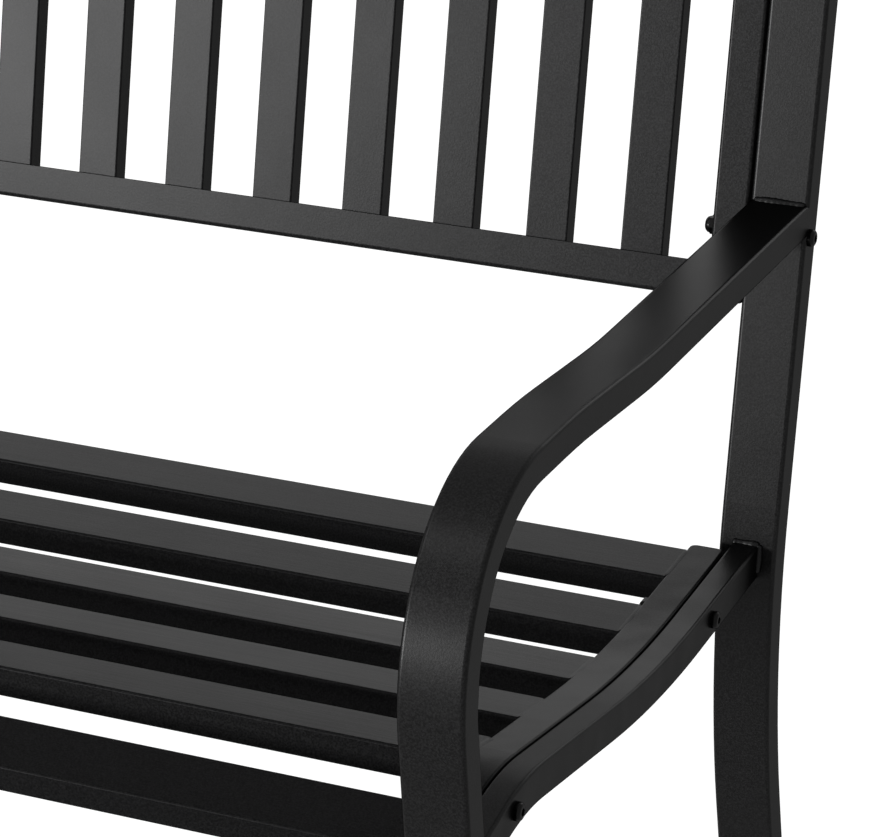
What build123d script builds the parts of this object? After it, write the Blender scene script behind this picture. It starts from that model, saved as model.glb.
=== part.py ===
from build123d import *
import os
from math import cos, radians, sin, tan

# Garden bench in millimetres. +X is the right side seen from the front, +Y is the back, +Z is up.
# The origin is on the floor under the middle of the whole bench.

# Overall size
bench_length = 1275.0
bench_depth = 569.0
bench_height = 860.0

# Frame tube of the back posts and of the arms
frame_width = 35.2
post_depth = 20.0
arm_depth = 19.0
frame_corner = 2.5
frame_wall = 1.5

# Back post: reclined upper part, knee and raked rear leg, angles in degrees from upright
back_recline = 10.8
rear_leg_rake = 13.0
knee_height = 336.0
knee_radius = 480.0

# Arm and front leg: nearly level arm, front bend in two arcs, leg that leans back and then forward
arm_height = 613.0
arm_rise = 8.4
arm_swell_radius = 600.0
arm_drop_angle = 60.0
arm_bend_radius = 83.0
shoulder_radius = 105.0
bend_straight = 2.0
leg_lean = 7.0
front_leg_rake = 4.0
front_knee_height = 310.0
front_knee_radius = 650.0
# How far along the arm, from the post, its rise starts and eases off, and how much is done by then
rise_start_share = 0.56
rise_ease_share = 0.785
rise_done_share = 0.92

# Seat contour: its corner at the crest, and how far below it lie the post, the dip and the front edge
seat_height = 438.5
seat_back_drop = 23.7
seat_dip_drop = 30.5
seat_front_drop = 16.0
dip_share = 0.383
crest_share = 0.83
dip_radius = 685.0
crest_radius = 150.0

# Seat rail of the end frame, set in from the outer side of the frame
seat_rail_width = 16.0
seat_rail_height = 21.0
seat_rail_inset = 10.5
seat_rail_corner = 2.0
seat_rail_wall = 1.2

# Seat panel: side bars, slats and the strap under their middle
side_bar_width = 21.0
side_bar_height = 19.0
side_bar_corner = 1.6
side_bar_end_round = 5.0
side_bar_gap = 0.5
side_bar_back_gap = 13.0
side_bar_front_gap = 1.0
seat_slat_width = 38.6
seat_slat_height = 16.7
seat_slat_corner = 1.5
seat_panel_wall = 1.2
seat_slat_pitch = 74.5
first_slat_setback = 39.0
even_slat_count = 5
strap_width = 30.0
strap_thickness = 4.0
strap_gap = 0.5

# Back panel, flush with the front of the posts: stiles, rails of bent sheet and the slats behind their lips
back_panel_depth = 14.7
back_panel_wall = 1.2
stile_width = 20.9
stile_corner = 2.0
stile_gap = 0.9
back_rail_height = 21.7
back_rail_top_height = 571.7
back_rail_thickness = 1.7
back_rail_bend = 1.2
back_panel_top_drop = 5.0
back_slat_width = 26.0
back_slat_corner = 1.0
back_slat_pitch = 59.8
back_slat_count = 19

# Bolts with domed heads, their holes, cap nuts and plain nuts
bolt_diameter = 6.0
bolt_hole_clearance = 0.3
thread_clearance = 0.15
bolt_head_diameter = 10.0
bolt_head_height = 3.6
bolt_head_round = 2.1
bolt_key_size = 4.0
bolt_key_depth = 2.0
nut_size = 10.0
nut_height = 5.0
cap_nut_height = 2.6
cap_nut_dome_height = 3.2
cap_nut_dome_round = 3.0
bolt_end = 1.5
back_bolt_rise = 21.0
back_bolt_drop = 34.0
back_seat_bolt_distance = 79.0
front_seat_bolt_distance = 376.0

# Plastic caps on the posts and glides in the legs
cap_thickness = 2.5
glide_thickness = 5.0
plastic_edge_round = 1.0
plug_depth = 16.0
plug_clearance = 0.2

# One overrun serves all cuts
overrun = 60.0

sides = (("left", -1), ("right", 1))
along_bench = Vector(1, 0, 0)
os.makedirs("parts", exist_ok=True)


def keep(piece, name):
    # Names a finished piece and writes its file
    piece.part.label = name
    export_step(piece.part, "parts/" + name + ".step")


def tube_section(width, depth, corner, wall):
    # Rounded rectangle, hollow where a wall is given, drawn in the sketch that is open
    RectangleRounded(width, depth, corner)
    if wall:
        RectangleRounded(width - 2 * wall, depth - 2 * wall, corner - wall / 2, mode=Mode.SUBTRACT)


def bar_along(points, radii, x, width, depth, corner, wall=0, drop=0):
    # Bar that follows a filleted line in the plane at x, its centre lowered by the drop
    with BuildPart() as bar:
        with BuildLine(Plane.YZ.offset(x)) as route:
            FilletPolyline(*points, radius=radii)
        route_wire = route.wires()[0]
        with BuildSketch(Plane(origin=route_wire @ 0, x_dir=along_bench, z_dir=route_wire % 0)):
            with Locations((0, -drop)):
                tube_section(width, depth, corner, wall)
        sweep(path=route_wire)
    return bar.part


# Post line: centre of the post tube, seen from the side
recline = radians(back_recline)
rake = radians(rear_leg_rake)
post_top_y = bench_depth / 2 - post_depth / 2 * cos(recline)
post_top_z = bench_height - post_depth / 2 * sin(recline)
cap_seat_z = post_top_z - cap_thickness * cos(recline)


def post_y(z):
    # Place of the post's centre line at a height above the knee
    return post_top_y - (post_top_z - z) * tan(recline)


rear_foot_y = post_y(knee_height) + knee_height * tan(rake)
post_points = [
    (post_y(cap_seat_z), cap_seat_z),
    (post_y(knee_height), knee_height),
    (rear_foot_y + overrun * tan(rake), -overrun),
]

# Arm line: centre of the arm and front leg tube, seen from the side
lean = radians(leg_lean)
arm_fall = radians(arm_drop_angle)
front_rake = radians(front_leg_rake)
arm_z = arm_height - arm_depth / 2
bend_z = arm_z + arm_rise
shoulder_turn = radians(90 - arm_drop_angle + leg_lean)
shoulder_tangent = shoulder_radius * tan(shoulder_turn / 2)
fall_length = arm_bend_radius * tan(arm_fall / 2) + bend_straight + shoulder_tangent
foremost_y = arm_depth / 2 - bench_depth / 2
shoulder_y = foremost_y - shoulder_tangent * sin(lean) + shoulder_radius * (1 - cos(lean))
shoulder_z = bend_z - fall_length * sin(arm_fall)
bend_y = shoulder_y + fall_length * cos(arm_fall)
arm_reach = post_y(arm_z) - bend_y
front_knee_y = shoulder_y + (shoulder_z - front_knee_height) * tan(lean)
front_foot_y = front_knee_y - front_knee_height * tan(front_rake)
arm_points = [
    (post_y(arm_z), arm_z),
    (post_y(arm_z) - arm_reach * rise_start_share, arm_z),
    (post_y(arm_z) - arm_reach * rise_ease_share, arm_z + arm_rise * rise_done_share),
    (bend_y, bend_z),
    (shoulder_y, shoulder_z),
    (front_knee_y, front_knee_height),
    (front_foot_y - overrun * tan(front_rake), -overrun),
]
arm_radii = [arm_swell_radius, arm_swell_radius, arm_bend_radius, shoulder_radius, front_knee_radius]


def leg_rear_y(z):
    # Place of the front leg's rear face at a height where the leg leans back
    return shoulder_y + (shoulder_z - z) * tan(lean) + arm_depth / 2 / cos(lean)


# Seat contour: top line of the seat from the post's front face to the rear face of the front leg
seat_back_height = seat_height - seat_back_drop
seat_front_height = seat_height - seat_front_drop
seat_back_y = post_y(seat_back_height) - post_depth / 2 / cos(recline)
seat_front_y = leg_rear_y(seat_front_height)
dip_y = seat_back_y - (seat_back_y - seat_front_y) * dip_share
crest_y = seat_back_y - (seat_back_y - seat_front_y) * crest_share
back_slope = (seat_dip_drop - seat_back_drop) / (seat_back_y - dip_y)
front_slope = seat_front_drop / (crest_y - seat_front_y)


def contour_points(behind, ahead):
    # Corners of the contour, drawn out behind its back end and ahead of its front end
    return [
        (seat_back_y + behind, seat_back_height + behind * back_slope),
        (dip_y, seat_height - seat_dip_drop),
        (crest_y, seat_height),
        (seat_front_y - ahead, seat_front_height - ahead * front_slope),
    ]


contour_radii = [dip_radius, crest_radius]
with BuildLine(Plane.YZ) as contour:
    FilletPolyline(*contour_points(0, 0), radius=contour_radii)
contour_wire = contour.wires()[0]


def seat_plane(distance, x):
    # Plane square to the bench's length at a distance along the contour, its second axis out of the seat
    share = distance / contour_wire.length
    place = contour_wire @ share
    return Plane(origin=(x, place.Y, place.Z), x_dir=-(contour_wire % share), z_dir=along_bench)


# Places across the bench, counted outward from its middle
frame_outer_x = bench_length / 2
frame_x = frame_outer_x - frame_width / 2
frame_inner_x = frame_outer_x - frame_width
seat_rail_outer_x = frame_outer_x - seat_rail_inset
seat_rail_x = seat_rail_outer_x - seat_rail_width / 2
side_bar_outer_x = seat_rail_outer_x - seat_rail_width - side_bar_gap
side_bar_x = side_bar_outer_x - side_bar_width / 2
side_bar_inner_x = side_bar_outer_x - side_bar_width
stile_outer_x = frame_inner_x - stile_gap
stile_x = stile_outer_x - stile_width / 2
stile_inner_x = stile_outer_x - stile_width

# Back panel places, measured up the recline from the top of the bottom rail
up_the_back = Vector(0, sin(recline), cos(recline))
toward_front = Vector(0, -cos(recline), sin(recline))
post_zero = Vector(0, post_y(back_rail_top_height), back_rail_top_height)
panel_zero = post_zero + toward_front * (post_depth / 2 - back_panel_depth / 2)
panel_top_rise = (post_top_z - back_panel_top_drop - back_rail_top_height) / cos(recline)


def plane_up_the_back(origin):
    # Plane square to the posts, its first axis along the bench
    return Plane(origin=origin, x_dir=along_bench, z_dir=up_the_back)



# Bolt places seen from the side: two on each post, in the middle of the stile, and two on each seat rail
post_bolt_places = []
for rise in (back_bolt_rise, panel_top_rise - back_bolt_drop):
    post_bolt_places.append(panel_zero + up_the_back * rise)
seat_bolt_places = []
for distance in (back_seat_bolt_distance, front_seat_bolt_distance):
    bolt_plane = seat_plane(distance, 0)
    seat_bolt_places.append(bolt_plane.origin - bolt_plane.y_dir * (seat_rail_height / 2))


def bolt_plane_at(place, side, x):
    # Plane across a bolt, facing out of the end of the bench
    return Plane(origin=(side * x, place.Y, place.Z), x_dir=(0, 1, 0), z_dir=(side, 0, 0))


def cut_bolt_holes(places, side, inner_x, outer_x):
    # Clearance holes of a row of bolts through the tube that is being built
    for place in places:
        with Locations(bolt_plane_at(place, side, (inner_x + outer_x) / 2)):
            Cylinder(bolt_diameter / 2 + bolt_hole_clearance, outer_x - inner_x + overrun, mode=Mode.SUBTRACT)


def bolt(place, side, head_x, end_x):
    # Bolt whose domed head with its six-sided socket sits on the plane at head_x
    with BuildPart() as screw:
        with BuildSketch(bolt_plane_at(place, side, head_x)):
            Circle(bolt_head_diameter / 2)
        extrude(amount=bolt_head_height)
        fillet(screw.faces().sort_by(Axis.X)[-1 if side > 0 else 0].edges(), bolt_head_round)
        with BuildSketch(bolt_plane_at(place, side, head_x + bolt_head_height)):
            RegularPolygon(bolt_key_size / 2, 6, major_radius=False)
        extrude(amount=-bolt_key_depth, mode=Mode.SUBTRACT)
        with BuildSketch(bolt_plane_at(place, side, end_x)):
            Circle(bolt_diameter / 2)
        extrude(amount=head_x - end_x)
    return screw.part


def nut(place, side, seat_x, height, dome):
    # Six-sided nut whose outer face lies on the plane at seat_x; a dome closes the far end of a cap nut
    with BuildPart() as hexagon:
        with BuildSketch(bolt_plane_at(place, side, seat_x)):
            RegularPolygon(nut_size / 2, 6, major_radius=False)
        extrude(amount=-height)
        if dome:
            with BuildSketch(bolt_plane_at(place, side, seat_x - height)):
                Circle(nut_size / 2)
            extrude(amount=-dome)
            fillet(hexagon.faces().sort_by(Axis.X)[0 if side > 0 else -1].edges(), cap_nut_dome_round)
        with BuildSketch(bolt_plane_at(place, side, seat_x)):
            Circle(bolt_diameter / 2 + thread_clearance)
        extrude(amount=-height - bolt_end, mode=Mode.SUBTRACT)
    return hexagon.part


def glide(x, y, angle, depth):
    # Plastic glide under a leg: a plate cut level with the floor and a plug that goes up inside the tube
    leg_plane = Plane(origin=(x, y, 0), x_dir=along_bench, z_dir=(0, sin(angle), cos(angle)))
    bore = 2 * (frame_wall + plug_clearance)
    with BuildPart() as foot:
        with BuildSketch(leg_plane.offset(-overrun)):
            RectangleRounded(frame_width, depth, frame_corner)
        extrude(amount=2 * overrun)
        split(bisect_by=Plane.XY.offset(glide_thickness), keep=Keep.BOTTOM)
        with BuildSketch(leg_plane):
            RectangleRounded(frame_width - bore, depth - bore, frame_corner - frame_wall / 2)
        extrude(amount=glide_thickness + plug_depth)
        split(bisect_by=Plane.XY, keep=Keep.TOP)
        fillet(foot.faces().sort_by(Axis.Z)[0].edges(), plastic_edge_round)
    return foot


for side_name, side in sides:
    post_form = [post_points, [knee_radius], side * frame_x, frame_width, post_depth, frame_corner]
    arm_form = [arm_points, arm_radii, side * frame_x, frame_width, arm_depth, frame_corner]
    post_outside = bar_along(*post_form)
    arm_outside = bar_along(*arm_form)

    # Back post and rear leg, open at both ends for the cap and the glide
    with BuildPart() as post:
        add(bar_along(*post_form, frame_wall))
        split(bisect_by=Plane.XY.offset(glide_thickness), keep=Keep.TOP)
        cut_bolt_holes(post_bolt_places, side, frame_inner_x, frame_outer_x)
    keep(post, side_name + "_back_post")

    # Arm and front leg, its rear end cut to the front face of the post
    with BuildPart() as arm:
        add(bar_along(*arm_form, frame_wall))
        add(post_outside, mode=Mode.SUBTRACT)
        split(bisect_by=Plane.XY.offset(glide_thickness), keep=Keep.TOP)
    keep(arm, side_name + "_arm_front_leg")

    # Seat rail, its ends cut to the post and to the front leg
    with BuildPart() as seat_rail:
        add(bar_along(contour_points(post_depth / 2, arm_depth / 2), contour_radii, side * seat_rail_x,
                      seat_rail_width, seat_rail_height, seat_rail_corner, seat_rail_wall, seat_rail_height / 2))
        add(post_outside, mode=Mode.SUBTRACT)
        add(arm_outside, mode=Mode.SUBTRACT)
        cut_bolt_holes(seat_bolt_places, side, seat_rail_outer_x - seat_rail_width, seat_rail_outer_x)
    keep(seat_rail, side_name + "_seat_rail")

    # Cap on the top of the post, with a plug inside the tube
    with BuildPart() as cap:
        cap_plane = plane_up_the_back((side * frame_x, post_y(cap_seat_z), cap_seat_z))
        with BuildSketch(cap_plane):
            RectangleRounded(frame_width, post_depth, frame_corner)
        extrude(amount=cap_thickness)
        fillet(cap.faces().sort_by(Axis.Z)[-1].edges(), plastic_edge_round)
        bore = 2 * (frame_wall + plug_clearance)
        with BuildSketch(cap_plane):
            RectangleRounded(frame_width - bore, post_depth - bore, frame_corner - frame_wall / 2)
        extrude(amount=-plug_depth)
    keep(cap, side_name + "_post_cap")

    # Glides of the rear leg and of the front leg
    keep(glide(side * frame_x, rear_foot_y, -rake, post_depth), side_name + "_rear_glide")
    keep(glide(side * frame_x, front_foot_y, front_rake, arm_depth), side_name + "_front_glide")

    # Side bar of the seat panel: a contoured tube with closed ends, rounded in plan
    bar_back_y = seat_back_y - side_bar_back_gap
    bar_front_y = leg_rear_y(seat_front_height - side_bar_height) + side_bar_front_gap
    bar_form = [contour_radii, side * side_bar_x]
    inner_back = side_bar_back_gap + seat_panel_wall
    inner_front = bar_front_y + seat_panel_wall - seat_front_y
    with BuildPart() as side_bar:
        add(bar_along(contour_points(0, 0), *bar_form, side_bar_width, side_bar_height, side_bar_corner,
                      drop=side_bar_height / 2))
        with BuildSketch(Plane.XY):
            with Locations((side * side_bar_x, (bar_back_y + bar_front_y) / 2)):
                RectangleRounded(side_bar_width, bar_back_y - bar_front_y, side_bar_end_round)
        extrude(amount=bench_height, mode=Mode.INTERSECT)
        add(bar_along(contour_points(-inner_back, -inner_front), *bar_form, side_bar_width - 2 * seat_panel_wall,
                      side_bar_height - 2 * seat_panel_wall, side_bar_corner - seat_panel_wall / 2,
                      drop=side_bar_height / 2), mode=Mode.SUBTRACT)
        cut_bolt_holes(seat_bolt_places, side, side_bar_inner_x, side_bar_outer_x)
    keep(side_bar, side_name + "_seat_side_bar")

    # Stile of the back panel, a tube closed at both ends
    with BuildPart() as stile:
        stile_plane = plane_up_the_back(panel_zero + along_bench * (side * stile_x))
        with BuildSketch(stile_plane.offset(-back_rail_height)):
            RectangleRounded(stile_width, back_panel_depth, stile_corner)
        extrude(amount=panel_top_rise + back_rail_height)
        with BuildSketch(stile_plane.offset(back_panel_wall - back_rail_height)):
            RectangleRounded(stile_width - 2 * back_panel_wall, back_panel_depth - 2 * back_panel_wall,
                             stile_corner - back_panel_wall / 2)
        extrude(amount=panel_top_rise + back_rail_height - 2 * back_panel_wall, mode=Mode.SUBTRACT)
        cut_bolt_holes(post_bolt_places, side, stile_inner_x, stile_outer_x)
    keep(stile, side_name + "_back_stile")

# Rails of the back panel, sheet bent to a lip in front of the slats and a shelf across their ends
rail_half_depth = back_panel_depth / 2
for rail_name, lip_rise, shelf_rise in (
    ("bottom", 0, -back_rail_height),
    ("top", panel_top_rise - back_rail_height, panel_top_rise),
):
    rail_origin = panel_zero - along_bench * stile_inner_x
    with BuildPart() as rail:
        with BuildSketch(Plane(origin=rail_origin, x_dir=up_the_back, z_dir=along_bench)):
            with BuildLine():
                FilletPolyline((lip_rise, rail_half_depth), (shelf_rise, rail_half_depth),
                               (shelf_rise, -rail_half_depth), radius=back_rail_bend + back_rail_thickness)
                offset(amount=back_rail_thickness, side=Side.RIGHT if shelf_rise > 0 else Side.LEFT)
            make_face()
        extrude(amount=2 * stile_inner_x)
    keep(rail, "back_" + rail_name + "_rail")

# Back slats, upright tubes behind the lips of the rails, numbered from the left
slat_depth = back_panel_depth - back_rail_thickness
slat_low = back_rail_bend + back_rail_thickness - back_rail_height
slat_zero = panel_zero + up_the_back * slat_low - toward_front * (back_rail_thickness / 2)
for number in range(back_slat_count):
    slat_x = (number - (back_slat_count - 1) / 2) * back_slat_pitch
    with BuildPart() as slat:
        with BuildSketch(plane_up_the_back(slat_zero + along_bench * slat_x)):
            RectangleRounded(back_slat_width, slat_depth, back_slat_corner)
            Rectangle(back_slat_width - 2 * back_panel_wall, slat_depth - 2 * back_panel_wall, mode=Mode.SUBTRACT)
        extrude(amount=panel_top_rise - back_rail_bend - back_rail_thickness - slat_low)
    keep(slat, f"back_slat_{number + 1:02d}")

# Seat slats, numbered from the back; the last lies apart, tipped down behind the front legs
slat_distances = []
for number in range(even_slat_count):
    slat_distances.append(first_slat_setback + number * seat_slat_pitch)
front_inset = inner_front - seat_panel_wall
slat_distances.append(contour_wire.length - front_inset - seat_slat_width / 2)
for number, distance in enumerate(slat_distances):
    with BuildPart() as slat:
        with BuildSketch(seat_plane(distance, -side_bar_inner_x)):
            with Locations((0, -seat_slat_height / 2)):
                tube_section(seat_slat_width, seat_slat_height, seat_slat_corner, seat_panel_wall)
        extrude(amount=2 * side_bar_inner_x)
    keep(slat, f"seat_slat_{number + 1}")

# Flat strap under the middle of the slats, bent to the contour
strap_drop = seat_slat_height + strap_gap + strap_thickness / 2
with BuildPart() as strap:
    with BuildLine(Plane.YZ) as strap_line:
        strap_points = contour_points(seat_slat_width / 2 - first_slat_setback, -front_inset)
        FilletPolyline(*strap_points, radius=contour_radii)
    strap_wire = strap_line.wires()[0]
    with BuildSketch(Plane(origin=strap_wire @ 0, x_dir=along_bench, z_dir=strap_wire % 0)):
        with Locations((0, -strap_drop)):
            Rectangle(strap_width, strap_thickness)
    sweep(path=strap_wire)
keep(strap, "seat_center_strap")

# Bolts and nuts: through post and stile with cap nuts, through seat rail and side bar with plain nuts
with BuildPart() as back_bolts:
    for side_name, side in sides:
        for place in post_bolt_places:
            add(bolt(place, side, frame_outer_x, stile_inner_x - cap_nut_height))
keep(back_bolts, "back_bolts")

with BuildPart() as back_cap_nuts:
    for side_name, side in sides:
        for place in post_bolt_places:
            add(nut(place, side, stile_inner_x, cap_nut_height, cap_nut_dome_height))
keep(back_cap_nuts, "back_cap_nuts")

with BuildPart() as seat_bolts:
    for side_name, side in sides:
        for place in seat_bolt_places:
            add(bolt(place, side, seat_rail_outer_x, side_bar_inner_x - nut_height - bolt_end))
keep(seat_bolts, "seat_bolts")

with BuildPart() as seat_nuts:
    for side_name, side in sides:
        for place in seat_bolt_places:
            add(nut(place, side, side_bar_inner_x, nut_height, 0))
keep(seat_nuts, "seat_nuts")
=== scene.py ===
import math

import bmesh
import bpy
from mathutils import Matrix, Vector


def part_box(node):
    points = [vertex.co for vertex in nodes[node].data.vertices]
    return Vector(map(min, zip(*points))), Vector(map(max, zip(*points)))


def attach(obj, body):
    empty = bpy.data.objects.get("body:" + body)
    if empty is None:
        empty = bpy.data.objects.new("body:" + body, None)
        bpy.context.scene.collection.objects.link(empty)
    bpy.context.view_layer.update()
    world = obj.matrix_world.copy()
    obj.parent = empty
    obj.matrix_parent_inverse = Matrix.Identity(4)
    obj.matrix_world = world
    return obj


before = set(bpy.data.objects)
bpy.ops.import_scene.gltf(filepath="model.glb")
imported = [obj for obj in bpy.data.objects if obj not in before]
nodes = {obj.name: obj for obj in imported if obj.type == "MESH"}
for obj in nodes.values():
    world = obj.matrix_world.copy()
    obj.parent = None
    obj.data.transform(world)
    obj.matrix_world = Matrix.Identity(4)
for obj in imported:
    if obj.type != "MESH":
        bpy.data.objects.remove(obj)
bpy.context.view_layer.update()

SIDES = {"left": -1, "right": 1}

# The end frames: back posts with their rear legs, arms with their front legs, and the seat rails.
# They are bent steel tubes, welded together and then powder coated in satin black. The coat has a fine
# orange-peel grain, and on the seat rails it has run into soft waves as well.
FRAME_BLACK = (0.0024, 0.0024, 0.0025, 1)
FRAME_GRAIN = (0.012, 0.012, 0.0123, 1)
FRAME_ROUGHNESS = 0.29
FRAME_COAT_IOR = 1.25
FRAME_TOP_LAYER = 0.63
GRAINS_PER_METRE = 1000.0
GRAIN_DETAIL = 2.0
GRAIN_HEIGHT = 0.00006
GRAIN_ROUGHNESS = 0.04
SPECK_FROM = 0.38
SPECK_TO = 0.66
PATCHES_PER_METRE = 14.0
PATCH_DETAIL = 3.0
PATCH_ROUGHNESS = 0.05
WAVES_PER_METRE = 32.0
WAVE_DETAIL = 1.0
WAVE_HEIGHT = 0.0001
RAIL_WAVE_HEIGHT = 0.0006
ORANGE_PEEL = 0.6


class Value:
    # One socket of a node graph, on which sums can be written

    def __init__(self, graph, socket):
        self.graph = graph
        self.socket = socket

    def sum_with(self, operation, first, second):
        return self.graph.node("ShaderNodeMath", {"operation": operation}, {0: first, 1: second})

    def __add__(self, other):
        return self.sum_with("ADD", self, other)

    def __radd__(self, other):
        return self.sum_with("ADD", other, self)

    def __mul__(self, other):
        return self.sum_with("MULTIPLY", self, other)

    def __rmul__(self, other):
        return self.sum_with("MULTIPLY", other, self)


class Graph:
    # The nodes of one material or of the surround

    def __init__(self, tree):
        self.tree = tree

    def node(self, kind, settings, values, out=0):
        made = self.tree.nodes.new(kind)
        for key, value in settings.items():
            setattr(made, key, value)
        for key, value in values.items():
            self.feed(made.inputs[key], value)
        return Value(self, made.outputs[out])

    def feed(self, socket, value):
        if isinstance(value, Value):
            self.tree.links.new(value.socket, socket)
        else:
            socket.default_value = value


class Finish(Graph):
    # A material that is built up node by node around one surface shader

    def __init__(self, name):
        self.material = bpy.data.materials.new(name)
        self.material.use_nodes = True
        super().__init__(self.material.node_tree)
        self.surface = self.tree.nodes["Principled BSDF"]
        self.output = self.tree.nodes["Material Output"]

    def set(self, **values):
        for key, value in values.items():
            self.feed(self.surface.inputs[key.replace("_", " ")], value)


def grain_at(coat, per_metre, detail=GRAIN_DETAIL, stretch=(1, 1, 1)):
    place = coat.node("ShaderNodeTexCoord", {}, {}, "Object")
    place = coat.node("ShaderNodeMapping", {}, {"Vector": place, "Scale": stretch})
    noise = {"Vector": place, "Scale": per_metre, "Detail": detail}
    return coat.node("ShaderNodeTexNoise", {}, noise, "Fac")


def powder_coat(
    name, black, grey, roughness, ior, top_layer,
    grain_height=GRAIN_HEIGHT, wave_height=WAVE_HEIGHT, scuffs=None,
):
    coat = Finish(name)
    grain = grain_at(coat, GRAINS_PER_METRE)
    patches = grain_at(coat, PATCHES_PER_METRE, PATCH_DETAIL)
    waves = grain_at(coat, WAVES_PER_METRE, WAVE_DETAIL)
    speck_range = {"Value": grain, "From Min": SPECK_FROM, "From Max": SPECK_TO}
    speck = coat.node("ShaderNodeMapRange", {}, speck_range)
    colour = coat.node("ShaderNodeMix", {"data_type": "RGBA"}, {"Factor": speck, 6: black, 7: grey}, 2)
    uneven = roughness + PATCH_ROUGHNESS * patches + GRAIN_ROUGHNESS * grain
    height = grain
    if scuffs:
        scuff_roughness, scuffs_per_metre, along = scuffs
        streaks = grain_at(coat, scuffs_per_metre, stretch=along)
        uneven = uneven + scuff_roughness * streaks
        height = grain + streaks
    flow = coat.node("ShaderNodeBump", {}, {"Distance": wave_height, "Height": waves})
    peel = {"Strength": ORANGE_PEEL, "Distance": grain_height, "Height": height, "Normal": flow}
    # The top layer mirrors nothing by itself, and only dims what the coat under it gives back
    coat.set(
        Base_Color=colour,
        Roughness=uneven,
        Normal=coat.node("ShaderNodeBump", {}, peel),
        IOR=ior,
        Coat_Weight=1.0,
        Coat_IOR=1.0,
        Coat_Tint=(top_layer, top_layer, top_layer, 1),
    )
    return coat.material


def dress(material, *names):
    for name in names:
        for place in nodes[name].material_slots:
            place.material = material


frame_coat = powder_coat(
    "frame_coat", FRAME_BLACK, FRAME_GRAIN, FRAME_ROUGHNESS, FRAME_COAT_IOR, FRAME_TOP_LAYER
)
rail_coat = powder_coat(
    "rail_coat", FRAME_BLACK, FRAME_GRAIN, FRAME_ROUGHNESS, FRAME_COAT_IOR, FRAME_TOP_LAYER,
    wave_height=RAIL_WAVE_HEIGHT,
)
for side in SIDES:
    dress(frame_coat, f"{side}_back_post", f"{side}_arm_front_leg")
    dress(rail_coat, f"{side}_seat_rail")

# Weld beads of the end frames: arm to post, seat rail to post and seat rail to front leg. Each is a
# rippled run of weld metal along the top of the joint, under the same coat as the tubes. Where the rail
# meets the post, another bead runs down the outer side.
ARM_BEAD = 0.0027
RAIL_BEAD = 0.0024
BEAD_SUNK = 0.0007
RAIL_SIDE_BEAD_LENGTH = 0.017
POST_RECLINE = math.radians(10.8)
CORNER_INSET = 0.0025
JOINT_REACH = 0.006
BEAD_SIDES = 14
BEAD_STEP = 0.0037
RINGS_PER_STEP = 4
LEAST_RINGS = 6
BEAD_RIPPLE = 0.035
DRIFT_RIPPLES = 3
DRIFT_TURN = 7.3
DRIFT_START = 900
BEAD_END_WIDTH = 0.7
BEAD_END_POWER = 12


def add_bead(beads, start, end, radius, flatness=1.0, up=(0, 0, 1), ripple=BEAD_RIPPLE):
    # A rod whose rings swell in the steps of the weld and drift a little, and draw in at both ends
    run = Vector(end) - Vector(start)
    one = bmesh.new()
    bmesh.ops.create_cone(
        one, cap_ends=True, segments=BEAD_SIDES, radius1=radius, radius2=radius, depth=run.length
    )
    half = run.length / 2
    long_lines = [line for line in one.edges if abs(line.verts[0].co.z - line.verts[1].co.z) > half]
    rings = max(LEAST_RINGS, round(RINGS_PER_STEP * run.length / BEAD_STEP))
    bmesh.ops.subdivide_edges(one, edges=long_lines, cuts=rings)
    along = run.normalized()
    across = along.cross(Vector(up)).normalized()
    turn = Matrix((across, across.cross(along), along)).transposed()
    middle = (Vector(start) + Vector(end)) / 2
    for point in one.verts:
        share = point.co.z / run.length + 0.5
        swell = 1 + ripple * math.sin(2 * math.pi * share * run.length / BEAD_STEP)
        drift = DRIFT_TURN * share + DRIFT_START * (start[0] + start[1])
        swell += DRIFT_RIPPLES * ripple * math.sin(drift)
        rounding = max(0, 1 - (2 * share - 1) ** BEAD_END_POWER) ** 0.5
        swell *= BEAD_END_WIDTH + (1 - BEAD_END_WIDTH) * rounding
        point.co = turn @ Vector((point.co.x * swell, point.co.y * swell * flatness, point.co.z)) + middle
    shape = bpy.data.meshes.new("bead")
    one.to_mesh(shape)
    one.free()
    beads.from_mesh(shape)
    bpy.data.meshes.remove(shape)


def weld_piece(name, mesh, material):
    bmesh.ops.recalc_face_normals(mesh, faces=mesh.faces)
    for face in mesh.faces:
        face.smooth = True
    data = bpy.data.meshes.new(name)
    mesh.to_mesh(data)
    mesh.free()
    data.materials.append(material)
    made = bpy.data.objects.new(name, data)
    bpy.context.scene.collection.objects.link(made)
    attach(made, "root")


def top_corner(name, end):
    # The highest point at one end of a tube: end is max at the rear and min at the front
    points = [point.co for point in nodes[name].data.vertices]
    last = end(point.y for point in points)
    return max((point for point in points if abs(point.y - last) < JOINT_REACH), key=lambda point: point.z)


for side, outward in SIDES.items():
    beads = bmesh.new()
    rail = f"{side}_seat_rail"
    post_low, post_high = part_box(f"{side}_back_post")
    rail_low, rail_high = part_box(rail)
    joint = top_corner(f"{side}_arm_front_leg", max)
    bead_z = joint.z - BEAD_SUNK
    add_bead(
        beads,
        (post_low[0] + CORNER_INSET, joint.y, bead_z),
        (post_high[0] - CORNER_INSET, joint.y, bead_z),
        ARM_BEAD,
    )
    for end in (max, min):
        joint = top_corner(rail, end)
        bead_z = joint.z - BEAD_SUNK
        add_bead(beads, (rail_low[0], joint.y, bead_z), (rail_high[0], joint.y, bead_z), RAIL_BEAD)
    joint = top_corner(rail, max)
    rail_outside = rail_high[0] if outward > 0 else rail_low[0]
    down = Vector((0, -math.sin(POST_RECLINE), -math.cos(POST_RECLINE))) * RAIL_SIDE_BEAD_LENGTH
    side_start = Vector((rail_outside, joint.y, joint.z))
    add_bead(beads, side_start, side_start + down, RAIL_BEAD, up=(0, 1, 0))
    weld_piece(f"{side}_frame_welds", beads, frame_coat)

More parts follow.
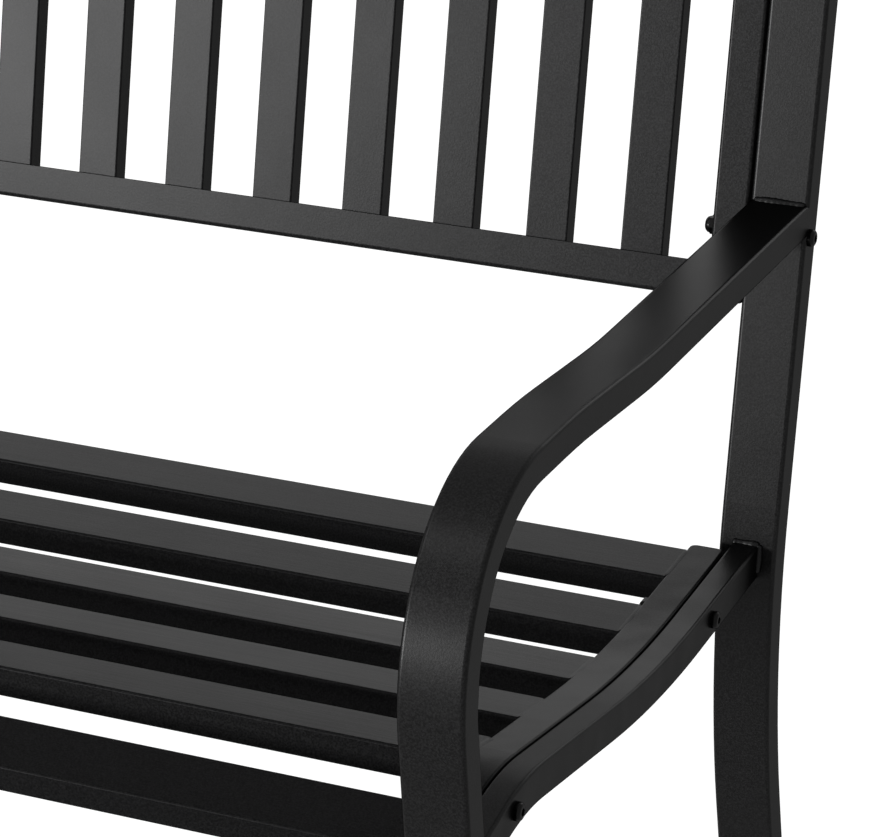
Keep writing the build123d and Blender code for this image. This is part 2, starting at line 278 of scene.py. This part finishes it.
# The seat panel: six flat tubes between two contoured side bars, with a strap under the middle. It has
# the same kind of coat, with fine scuffs along the slats from sitting and wiping, and with soft waves
# along the side bars.
# The seat's black and grain, on the slats, side bars and strap, are darker than the frame's: the same
# coat, painted darker as painted shade.
SEAT_BLACK_WITH_PAINTED_SHADE = (0.0012, 0.0012, 0.0013, 1)
SEAT_GRAIN_WITH_PAINTED_SHADE = (0.006, 0.006, 0.0062, 1)
SEAT_ROUGHNESS = 0.27
SEAT_COAT_IOR = 1.1
SEAT_TOP_LAYER = 0.95
BAR_COAT_IOR = 1.09
BAR_WAVE_HEIGHT = 0.0008
SCUFF_ROUGHNESS = 0.1
SCUFFS_PER_METRE = 600.0
ALONG_SLATS = (0.03, 1, 1)
SEAT_SLATS = [f"seat_slat_{number}" for number in range(1, 7)]
seat_coat = powder_coat(
    "seat_coat", SEAT_BLACK_WITH_PAINTED_SHADE, SEAT_GRAIN_WITH_PAINTED_SHADE, SEAT_ROUGHNESS, SEAT_COAT_IOR, SEAT_TOP_LAYER,
    scuffs=(SCUFF_ROUGHNESS, SCUFFS_PER_METRE, ALONG_SLATS),
)
bar_coat = powder_coat(
    "bar_coat", SEAT_BLACK_WITH_PAINTED_SHADE, SEAT_GRAIN_WITH_PAINTED_SHADE, SEAT_ROUGHNESS, BAR_COAT_IOR, SEAT_TOP_LAYER,
    wave_height=BAR_WAVE_HEIGHT,
)
dress(bar_coat, "left_seat_side_bar", "right_seat_side_bar", "seat_center_strap")
dress(seat_coat, *SEAT_SLATS)

# The slat ends are welded to the side bars and ground flush: a low strip of weld fills the groove on
# top of each joint, and a small bead is left in its rear corner.
GROUND_HALF_WIDTH = 0.0032
GROUND_FLATNESS = 0.25
GROUND_PROUD = 0.0001
GROUND_OVER_BAR = 0.0005
CORNER_BEAD = 0.0024
CORNER_BEAD_DEPTH = 0.012
SAME_PLACE = 0.0003
SAME_WAY = 0.9999


def top_end_points(name, outward):
    # The front and rear corner of a slat's top at one end, and the direction in which the top faces
    shape = nodes[name].data
    level = max(shape.polygons, key=lambda face: face.area * max(0.0, face.normal.z)).normal.copy()
    points = [
        shape.vertices[number].co
        for face in shape.polygons
        if face.normal.dot(level) > SAME_WAY
        for number in face.vertices
    ]
    crest = max(point.dot(level) for point in points)
    points = [point for point in points if point.dot(level) > crest - SAME_PLACE]
    last = max(outward * point.x for point in points)
    ends = [point for point in points if outward * point.x > last - SAME_PLACE]
    ends.sort(key=lambda point: point.y)
    return ends[0], ends[-1], level


for side, outward in SIDES.items():
    strips = bmesh.new()
    over = Vector((outward * GROUND_OVER_BAR, 0, 0))
    for name in SEAT_SLATS:
        front, rear, level = top_end_points(name, outward)
        shift = level * (GROUND_PROUD - GROUND_HALF_WIDTH * GROUND_FLATNESS) + over
        add_bead(strips, front + shift, rear + shift, GROUND_HALF_WIDTH, GROUND_FLATNESS, level, 0.0)
        rearward = (rear - front).normalized()
        corner = rear + rearward * CORNER_INSET / 2 - level * CORNER_BEAD
        add_bead(strips, corner, corner - level * CORNER_BEAD_DEPTH, CORNER_BEAD, up=(0, 1, 0))
    weld_piece(f"{side}_seat_welds", strips, bar_coat)

# The back panel: nineteen upright slats between two bent rails and two stiles, welded flush at the
# front and ground, so that no bead shows there.
# The back panel's black and grain are lighter than the frame's: the same coat, painted lighter as painted
# light.
BACK_BLACK_WITH_PAINTED_LIGHT = (0.005, 0.005, 0.0052, 1)
BACK_GRAIN_WITH_PAINTED_LIGHT = (0.018, 0.018, 0.0185, 1)
BACK_ROUGHNESS = 0.27
BACK_COAT_IOR = 1.18
BACK_TOP_LAYER = 0.62
BACK_SLATS = [f"back_slat_{number:02d}" for number in range(1, 20)]
back_coat = powder_coat(
    "back_coat", BACK_BLACK_WITH_PAINTED_LIGHT, BACK_GRAIN_WITH_PAINTED_LIGHT, BACK_ROUGHNESS, BACK_COAT_IOR, BACK_TOP_LAYER
)
dress(back_coat, "back_bottom_rail", "back_top_rail", "left_back_stile", "right_back_stile")
dress(back_coat, *BACK_SLATS)

# Bolts with their nuts, of smooth blackened steel, and the black plastic caps and glides that are
# pressed into the tube ends.
BOLT_ROUGHNESS = 0.24
BOLT_GRAIN_HEIGHT = 0.00001
PLASTIC_ROUGHNESS = 0.5
PLASTIC_GRAIN_HEIGHT = 0.00004
# The bolts take the seat's black, which is darker than the frame's as painted shade.
bolt_black = powder_coat(
    "bolt_black", SEAT_BLACK_WITH_PAINTED_SHADE, SEAT_BLACK_WITH_PAINTED_SHADE, BOLT_ROUGHNESS, FRAME_COAT_IOR, FRAME_TOP_LAYER,
    grain_height=BOLT_GRAIN_HEIGHT,
)
plastic = powder_coat(
    "black_plastic", FRAME_BLACK, FRAME_GRAIN, PLASTIC_ROUGHNESS, FRAME_COAT_IOR, FRAME_TOP_LAYER,
    grain_height=PLASTIC_GRAIN_HEIGHT,
)
dress(bolt_black, "back_bolts", "back_cap_nuts", "seat_bolts", "seat_nuts")
for side in SIDES:
    dress(plastic, f"{side}_post_cap", f"{side}_rear_glide", f"{side}_front_glide")

# The studio floor is white paper. The camera and reflections see it as white but for the soft shadow
# of the bench, and see the surround as plain white.
FLOOR_HALF = 14.0
WHITE = (1, 1, 1, 1)
PAPER_WHITE = 0.82
PAPER_ROUGHNESS = 0.9
PAPER_SHADE = 0.35
PAPER_GLOW = 1.25
SURROUND_LIGHT = 0.45


def seen(graph):
    camera_ray = graph.node("ShaderNodeLightPath", {}, {}, "Is Camera Ray")
    glossy_ray = graph.node("ShaderNodeLightPath", {}, {}, "Is Glossy Ray")
    transmission_ray = graph.node("ShaderNodeLightPath", {}, {}, "Is Transmission Ray")
    either = graph.node("ShaderNodeMath", {"operation": "MAXIMUM"}, {0: camera_ray, 1: glossy_ray})
    return graph.node("ShaderNodeMath", {"operation": "MAXIMUM"}, {0: either, 1: transmission_ray})


sheet = bmesh.new()
bmesh.ops.create_grid(sheet, x_segments=1, y_segments=1, size=FLOOR_HALF)
floor_mesh = bpy.data.meshes.new("floor")
sheet.to_mesh(floor_mesh)
sheet.free()
floor = bpy.data.objects.new("floor", floor_mesh)
bpy.context.scene.collection.objects.link(floor)
paper = Finish("floor_paper")
paper.set(Base_Color=(PAPER_WHITE, PAPER_WHITE, PAPER_WHITE, 1), Roughness=PAPER_ROUGHNESS)
glow = paper.node("ShaderNodeEmission", {}, {"Color": WHITE, "Strength": PAPER_GLOW})
lit = Value(paper, paper.surface.outputs[0])
mixed = paper.node("ShaderNodeMixShader", {}, {0: (1 - PAPER_SHADE) * seen(paper), 1: lit, 2: glow})
paper.feed(paper.output.inputs["Surface"], mixed)
floor_mesh.materials.append(paper.material)

world = bpy.data.worlds.new("studio")
bpy.context.scene.world = world
world.use_nodes = True
surround = Graph(world.node_tree)
background = surround.tree.nodes["Background"]
surround.feed(background.inputs["Color"], WHITE)
surround.feed(background.inputs["Strength"], SURROUND_LIGHT + (1 - SURROUND_LIGHT) * seen(surround))


# The lamps: a softbox low at the front left, which the back panel and the posts reflect, a large dim
# one behind, which the tops of the seat and of the arms reflect, and a small dim one overhead.
def softbox(name, place, target, width, height, power):
    lamp = bpy.data.lights.new(name, "AREA")
    lamp.shape = "RECTANGLE"
    lamp.size = width
    lamp.size_y = height
    lamp.energy = power
    holder = bpy.data.objects.new(name, lamp)
    holder.location = place
    holder.rotation_euler = (Vector(target) - Vector(place)).to_track_quat("-Z", "Y").to_euler()
    bpy.context.scene.collection.objects.link(holder)


softbox(
    "front_softbox", place=(-2.96, -4.55, 1.05), target=(0, 0.1, 0.72), width=2.1, height=0.9, power=520.0
)
softbox(
    "back_softbox", place=(-0.6, 4.7, 2.3), target=(0.2, 0, 0.43), width=7.5, height=2.0, power=140.0
)
softbox(
    "overhead_softbox", place=(-1.15, -1.3, 3.0), target=(0, 0, 0.45), width=1.2, height=0.8, power=28.0
)

# The camera stands in front of the bench, to its right and higher than its back, and looks down and to
# the left. The picture holds only the right part of the bench.
LENS = 149.5
SENSOR_WIDTH = 36.0
CAMERA_RIGHT = 1.2385
CAMERA_FRONT = 1.7005
CAMERA_HEIGHT = 1.3034
CAMERA_TURN = math.radians(23.32)
CAMERA_PITCH = math.radians(22.33)
camera_data = bpy.data.cameras.new("camera")
camera_data.lens = LENS
camera_data.sensor_width = SENSOR_WIDTH
camera = bpy.data.objects.new("camera", camera_data)
camera.location = (CAMERA_RIGHT, -CAMERA_FRONT, CAMERA_HEIGHT)
camera.rotation_euler = (math.pi / 2 - CAMERA_PITCH, 0, CAMERA_TURN)
bpy.context.scene.collection.objects.link(camera)
bpy.context.scene.camera = camera

bpy.context.scene.view_settings.view_transform = "Standard"
